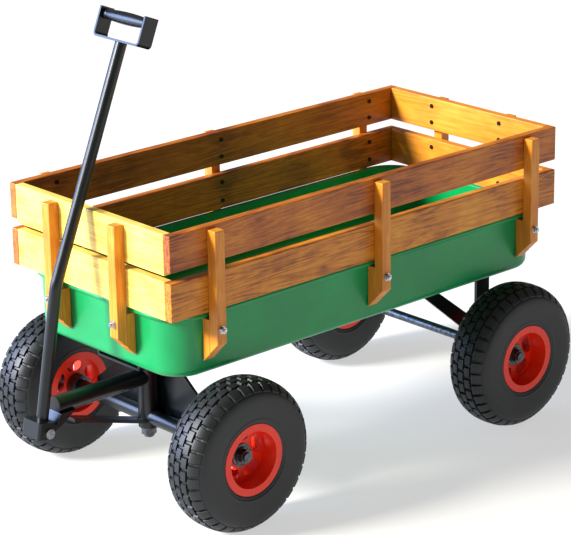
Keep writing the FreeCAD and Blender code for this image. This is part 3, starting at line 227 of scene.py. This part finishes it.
# Pine stains, from the darkest streak to the lightest
honey = [(0.32, "#BC6A1C"), (0.46, "#D17F22"), (0.58, "#DC8E29"), (0.72, "#E6A136")]
# the blond stops are a paler copy of the stain, painted light for the front boards that face the key lamp
paintedLightBlond = [(0.34, "#E3A940"), (0.46, "#F0C95A"), (0.58, "#F5D769"), (0.72, "#F9E482")]
# the russet and amber stops are darker copies of the stain, painted shade for the side boards that face away
# from the key lamp
paintedShadeRusset = [(0.36, "#7A380E"), (0.46, "#A95A16"), (0.56, "#BE6C19"), (0.7, "#D68A24")]
paintedShadeAmber = [(0.36, "#8E4A10"), (0.46, "#C27419"), (0.56, "#D6881F"), (0.7, "#E6A438")]
# Posts and rear boards take the golden honey stain; the front boards' paler stain is real stain lightened as
# painted light, and the side boards' darker stains, the darkest, are real stain darkened as painted shade
postPine = stainedPine("honeyStainedPinePost", "Z", honey, "#6E3412")
paintedLightPine = stainedPine("paleStainedPinePaintedLight", "X", paintedLightBlond, "#A8702A")
honeyPine = stainedPine("honeyStainedPine", "X", honey, "#7A3C16")
paintedShadeRussetPine = stainedPine("russetStainedPinePaintedShade", "Y", paintedShadeRusset, "#552A18")
paintedShadeAmberPine = stainedPine("amberStainedPinePaintedShade", "Y", paintedShadeAmber, "#5E2E12")
# Enamels: deep even colour with soft highlights
greenEnamel = sprayedEnamel("greenGlossEnamel", "#009650", "#008548", (0.26, 0.42), 0.2)
blackEnamel = sprayedEnamel("blackGlossEnamel", "#0D1315", "#080C0E", (0.22, 0.4), 0.25)
redEnamel = sprayedEnamel("redGlossEnamel", "#FA300C", "#E82808", (0.3, 0.46), 0.2)
# Metals: zinc is bright with a fine spangle, drawn bar is grey and dull with oil
zinc = platedSteel("brightZincPlate", "#D3D7DA", "#8F9498", (0.22, 0.42), 5 * mm)
drawnSteel = platedSteel("oiledDrawnSteel", "#6C7074", "#3A3D40", (0.3, 0.5), 8 * mm)
blackOxide = platedSteel("blackOxideScrew", "#3B3835", "#1C1A19", (0.4, 0.6), 3 * mm)
bearingSteel = platedSteel("groundBearingSteel", "#B9BDC2", "#7D8186", (0.12, 0.25), 4 * mm)
# Mouldings: tyres are matt and near black, the grip's vinyl is smoother and takes highlights
tyreRubber = mouldedRubber("vulcanisedTyreRubber", "#101415", "#1C2123", (0.4, 0.62), 1.2 * mm)
butylRubber = mouldedRubber("smoothButylRubber", "#1A1A1B", "#262628", (0.4, 0.55), 2 * mm)
gripVinyl = mouldedRubber("mouldedGripVinyl", "#0F1418", "#171C22", (0.22, 0.36), 2.5 * mm)
nylon = mouldedRubber("machinedNylon", "#DAD7CC", "#C4C0B2", (0.4, 0.5), 1.5 * mm)
print("materials made")

finishes = {
    "green_enamel": greenEnamel, "black_enamel": blackEnamel, "red_enamel": redEnamel,
    "zinc_fasteners": zinc, "hub_steel": drawnSteel, "dark_screws": blackOxide,
    "axle_steel": drawnSteel,
    "bearing_steel": bearingSteel, "tyre_rubber": tyreRubber, "tube_rubber": butylRubber,
    "grip_vinyl": gripVinyl, "nylon": nylon,
}
slotOf = {part["node"]: part["material_slot"] for part in frame["record"]["subparts"]}


def timberFinish(node):
    # the grain runs along each board: X on the end boards, Y on the sides, Z on posts and blocks
    if "slat" not in node:
        return postPine
    # front boards: the pale stain is painted light
    if node.startswith("front"):
        return paintedLightPine
    if node.startswith("rear"):
        return honeyPine
    # side boards: the darker stains are painted shade
    return paintedShadeRussetPine if node.endswith("upper") or node.startswith("right") else paintedShadeAmberPine


for node, thing in frame["nodes"].items():
    slot = slotOf[node]
    finish = timberFinish(node) if slot == "stained_timber" else finishes[slot]
    if node.endswith("axle_nuts"):
        finish = drawnSteel          # darker than zinc: painted shade for the nuts deep in the hub's shaded recess
    thing.data.materials.clear()
    thing.data.materials.append(finish)


def gridPiece(name, points, loopU, loopV, flip, finish, smooth=True):
    # a mesh from points[u, v] = (x, y, z), where a loop joins its last row to its first
    rows, columns = points.shape[:2]
    u = np.arange(rows if loopU else rows - 1)
    v = np.arange(columns if loopV else columns - 1)
    u, v = np.meshgrid(u, v, indexing="ij")
    nextU, nextV = (u + 1) % rows, (v + 1) % columns
    corners = np.stack([u * columns + v, nextU * columns + v,
                        nextU * columns + nextV, u * columns + nextV], -1).reshape(-1, 4)
    if flip:
        corners = corners[:, ::-1]
    mesh = bpy.data.meshes.new(name)
    mesh.from_pydata(points.reshape(-1, 3), [], corners.tolist())
    mesh.polygons.foreach_set("use_smooth", np.full(len(mesh.polygons), smooth))
    mesh.materials.append(finish)
    mesh.update()
    piece = bpy.data.objects.new(name, mesh)
    scene.collection.objects.link(piece)
    return piece


# Lengths without mm are mm along the section from the crown, turns are parts of one pitch
tread = {
    "pitches": 36,               # blocks round the tyre
    "depth": 4.2 * mm,           # groove depth at the crown
    "crown": 36 * mm,            # height of the superellipse's upper half
    "power": 2.6,                # squareness of the section
    "bead": (38.9 * mm, 61.4 * mm),
    "inside": 57 * mm,           # radius where the tyre is closed inside the rim
    "blockSwell": 0.4 * mm,      # the section stays this far inside the tyre's box
    "centreRow": (-np.inf, 5.5),
    "middleRow": (8.3, 19.5),
    "shoulderRow": (22.3, 43.0),
    "rowFlank": 0.6,
    "shoulderFlank": 0.9,
    "gap": (0.78, 1.0),          # turns with no block in the centre and shoulder rows
    "middleGap": (0.28, 0.5),    # the same in the rows between them, half a pitch on
    "gapFlank": 0.04,
    "midBlock": (0.13, 0.39, 0.64, 0.89),     # turns sampled between the gaps' edges
    "slitRow": (13.2, 14.6),     # a shallow slit across each middle block
    "slitTurn": (0.6, 0.72),
    "slitFlanks": (0.7, 0.1),
    "slitDepth": 0.5,            # as a part of the groove depth
    "shoulder": 47,              # the grooves run out here
    "runOut": 14,
    "spacing": 3.1,              # samples along the section, out to the shoulder row's end
    "wallStart": 46,
    "wallSamples": 20,
    "guardRib": {"height": 0.9 * mm, "radius": 69 * mm, "width": 1.6 * mm},
}


def between(value, low, high, edge):
    # 1 inside low..high and 0 outside, with straight flanks of width edge
    return np.clip(np.minimum(value - low, high - value) / edge + 0.5, 0, 1)


def sectionCurve(halfWidth, radius):
    # half section from the crown: |x/a|^n + |(r - c)/b|^n = 1 above the widest point, then
    # a quarter ellipse down to the bead with the rim's guard rib on it as a Gaussian bump
    n, b = tread["power"], tread["crown"]
    c = radius - b
    beadX, beadR = tread["bead"]
    t = np.linspace(0, np.pi / 2, 400)
    upper = np.stack([halfWidth * np.sin(t) ** (2 / n), c + b * np.cos(t) ** (2 / n)], -1)
    s = np.linspace(0, np.pi / 2, 200)[1:]
    lower = np.stack([beadX + (halfWidth - beadX) * np.cos(s), c - (c - beadR) * np.sin(s)], -1)
    rib = tread["guardRib"]
    lower[:, 0] += rib["height"] * np.exp(-((lower[:, 1] - rib["radius"]) / rib["width"]) ** 2)
    return np.concatenate([upper, lower])


def treadedTyre(name, node, body):
    # p(u, v) = (x(v), r(u, v) cos u, r(u, v) sin u), where r is the section's less the groove depth
    low, high = (np.array(corner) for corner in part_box(node))
    centre = (low + high) / 2
    side = np.sign(centre[0])
    radius, halfWidth = (high[2] - low[2]) / 2, (high[0] - low[0]) / 2 - tread["blockSwell"]
    curve = sectionCurve(halfWidth, radius)
    steps = np.linalg.norm(np.diff(curve, axis=0), axis=1)
    length = np.concatenate([[0], np.cumsum(steps)])
    flank = tread["rowFlank"] / 2
    rowEdges = np.array([tread["centreRow"][1], *tread["middleRow"], tread["shoulderRow"][0]])
    lastEdge = tread["shoulderRow"][1]
    edges = np.concatenate([rowEdges - flank, rowEdges + flank, [lastEdge - 2 * flank, lastEdge + 2 * flank]])
    plain = np.concatenate([np.arange(0, lastEdge, tread["spacing"]),
                            np.linspace(tread["wallStart"], length[-1] / mm, tread["wallSamples"])])
    samples = np.unique(np.concatenate([edges, plain])) * mm
    along = np.stack([np.interp(samples, length, curve[:, k]) for k in (0, 1)], -1)
    tangent = np.gradient(along, samples, axis=0)
    outward = np.stack([-tangent[:, 1], tangent[:, 0]], -1)
    outward /= np.linalg.norm(outward, axis=1, keepdims=True)
    x = np.concatenate([-along[:0:-1, 0], along[:, 0]])
    r = np.concatenate([along[:0:-1, 1], along[:, 1]])
    normal = np.concatenate([outward[:0:-1] * [-1, 1], outward])
    arc = np.concatenate([-samples[:0:-1], samples]) / mm
    soft = tread["gapFlank"]
    gapEdges = np.array([*tread["middleGap"], *tread["gap"]])
    fractions = np.add.outer(gapEdges, [-soft, 0, soft]).ravel() % 1
    fractions = np.sort(np.concatenate([fractions, tread["midBlock"]]))
    turns = (np.arange(tread["pitches"])[:, None] + fractions).ravel() / tread["pitches"]
    phase = np.tile(fractions, tread["pitches"])[:, None]
    reach = np.abs(arc)[None, :]
    block = 1 - between(phase, *tread["gap"], soft)
    middleBlock = 1 - between(phase, *tread["middleGap"], soft)
    height = (between(reach, *tread["centreRow"], tread["rowFlank"]) * block
              + between(reach, *tread["middleRow"], tread["rowFlank"]) * middleBlock
              + between(reach, *tread["shoulderRow"], tread["shoulderFlank"]) * block)
    slit = (between(reach, *tread["slitRow"], tread["slitFlanks"][0])
            * between(phase, *tread["slitTurn"], tread["slitFlanks"][1]))
    ground = tread["depth"] * np.clip((tread["shoulder"] - reach) / tread["runOut"], 0, 1)
    lowered = ground * (1 - height) + tread["slitDepth"] * ground * slit * height
    sectionX = x[None, :] - lowered * normal[None, :, 0]
    sectionR = r[None, :] - lowered * normal[None, :, 1]
    ringX = np.tile(np.linspace(x[-1], x[0], 6)[1:-1], (len(turns), 1))     # closes the tyre inside the rim
    sectionX = np.concatenate([sectionX, ringX], 1)
    sectionR = np.concatenate([sectionR, np.full(ringX.shape, tread["inside"])], 1)
    angle = 2 * np.pi * turns[:, None]
    points = np.stack([centre[0] + side * sectionX, centre[1] + sectionR * np.cos(angle),
                       centre[2] + sectionR * np.sin(angle)], -1)
    piece = gridPiece(name, points, True, True, side > 0, tyreRubber, smooth=False)
    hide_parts(node)
    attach(piece, body)


for end in ("front", "rear"):
    for side in ("left", "right"):
        wheel = end + "_" + side
        treadedTyre(wheel + "_treaded_tyre", wheel + "_tyre", wheel + "_wheel")
print("tyres made")


grip = {
    "bore": 5.1 * mm,        # radius round the loop's rod
    "taper": 3 * mm,         # the ends are this much slimmer than the middle
    "collar": 6 * mm,        # length of the rolled collar at each end
    "collarLift": 0.7 * mm,
    "collarFlank": 1.2 * mm,
    "lip": 1.5 * mm,         # length of the rounded lip
    "lipDrop": 1.2 * mm,
    "samples": 90,
    "sides": 48,
}


def gripSleeve():
    # p(u, v) = centre + (x(v), R(v) cos u, R(v) sin u), where R is a parabolic barrel with a collar
    # and a quarter-round lip at each end
    low, high = (np.array(corner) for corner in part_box("handle_grip"))
    centre = (low + high) / 2
    half = (high[0] - low[0]) / 2
    middle = (high[1] - low[1]) / 2
    x = np.linspace(-half, half, grip["samples"])
    barrel = middle - grip["taper"] * (x / half) ** 2
    collar = grip["collarLift"] * between(np.abs(x), half - grip["collar"], np.inf, grip["collarFlank"])
    rounding = np.clip((half - np.abs(x)) / grip["lip"], 0, 1)
    radius = barrel + collar - grip["lipDrop"] * (1 - np.sqrt(1 - (1 - rounding) ** 2))
    x = np.concatenate([[x[0]], x, [x[-1]]])
    radius = np.concatenate([[grip["bore"]], radius, [grip["bore"]]])
    angle = np.linspace(0, 2 * np.pi, grip["sides"], endpoint=False)[:, None]
    points = np.stack(np.broadcast_arrays(centre[0] + x, centre[1] + radius * np.cos(angle),
                                          centre[2] + radius * np.sin(angle)), -1)
    piece = gridPiece("grip_sleeve", points, True, True, True, gripVinyl)
    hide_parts("handle_grip")
    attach(piece, "handle")


gripSleeve()
print("grip made")

studio = {
    "sheet": ("#9C9C9B", "#A2A2A1"),
    "sheetReach": 30.0,
    "glow": 0.56,            # the sheet is lit from below, so shadows on it stay faint
    "sun": {"energy": 8.0, "angle": np.radians(14), "color": toLinear("#FFF9F0")[:3]},
    "sunTowards": (-0.34, -0.86, 0.52),
    "softbox": {"size": 2.2, "energy": 210, "color": toLinear("#A9C4FF")[:3]},
    "softboxPlace": (-2.4, -2.6, 1.5),
    "softboxAim": (0, -0.1, 0.35),
    "world": 0.16,
}

# Backlit acrylic sheet: a matt white ground whose slight mottling hardly shows
sheetMaterial, sheetTree, sheetSurface, sheetPlace = startMaterial("backlitAcrylic", {
    "Roughness": 0.9, "Emission Color": toLinear("#FFFFFF"), "Emission Strength": studio["glow"]})
mottling = addNode(sheetTree, "ShaderNodeTexNoise", {"Scale": 1.5}, {"Vector": sheetPlace})
sheetTone = addNode(sheetTree, "ShaderNodeValToRGB", None, {"Fac": mottling.outputs["Fac"]},
                    list(zip((0.3, 0.7), studio["sheet"])))
sheetTree.links.new(sheetTone.outputs["Color"], sheetSurface.inputs["Base Color"])
far = studio["sheetReach"]
sheetCorners = np.array([[[-far, -far, 0], [-far, far, 0]], [[far, -far, 0], [far, far, 0]]])
floor = gridPiece("floor", sheetCorners, False, False, False, sheetMaterial, smooth=False)

world = bpy.data.worlds.new("studioWorld")
world.use_nodes = True
world.node_tree.nodes["Background"].inputs["Color"].default_value = toLinear("#FFFFFF")
world.node_tree.nodes["Background"].inputs["Strength"].default_value = studio["world"]
scene.world = world


def standing(place, back, roll=0.0):
    # at place and looking away from back, +Z up in the picture, then rolled about the line of sight
    back = back / np.linalg.norm(back)
    right = np.cross([0, 0, 1], back)
    right /= np.linalg.norm(right)
    up = np.cross(back, right)
    matrix = np.eye(4)
    matrix[:3, 0] = np.cos(roll) * right + np.sin(roll) * up
    matrix[:3, 1] = np.cos(roll) * up - np.sin(roll) * right
    matrix[:3, 2] = back
    matrix[:3, 3] = place
    return Matrix(matrix.tolist())


def addToStudio(name, data, settings, stand):
    # a lamp or the camera, with its own settings, where it stands
    for key, value in settings.items():
        setattr(data, key, value)
    thing = bpy.data.objects.new(name, data)
    scene.collection.objects.link(thing)
    thing.matrix_world = stand
    return thing


sunTowards = np.array(studio["sunTowards"])
addToStudio("sunLight", bpy.data.lights.new("sunLight", "SUN"), studio["sun"],
            standing(sunTowards, sunTowards))
boxPlace = np.array(studio["softboxPlace"])
addToStudio("softboxLight", bpy.data.lights.new("softboxLight", "AREA"), studio["softbox"],
            standing(boxPlace, boxPlace - studio["softboxAim"]))

view = {
    "place": (3.0524, -2.7093, 1.7199),
    "azimuth": np.radians(48.04),        # round from the cart's front
    "dip": np.radians(18.87),            # below the horizontal
    "roll": np.radians(-0.92),
    "camera": {"lens": 157.0, "sensor_fit": "HORIZONTAL"},
}
azimuth, dip = view["azimuth"], view["dip"]
viewBack = np.array([np.sin(azimuth) * np.cos(dip), -np.cos(azimuth) * np.cos(dip), np.sin(dip)])
scene.camera = addToStudio("studioCamera", bpy.data.cameras.new("studioCamera"), view["camera"],
                           standing(view["place"], viewBack, view["roll"]))
scene.view_settings.view_transform = "Standard"
print("studio ready")

bpy.context.view_layer.update()
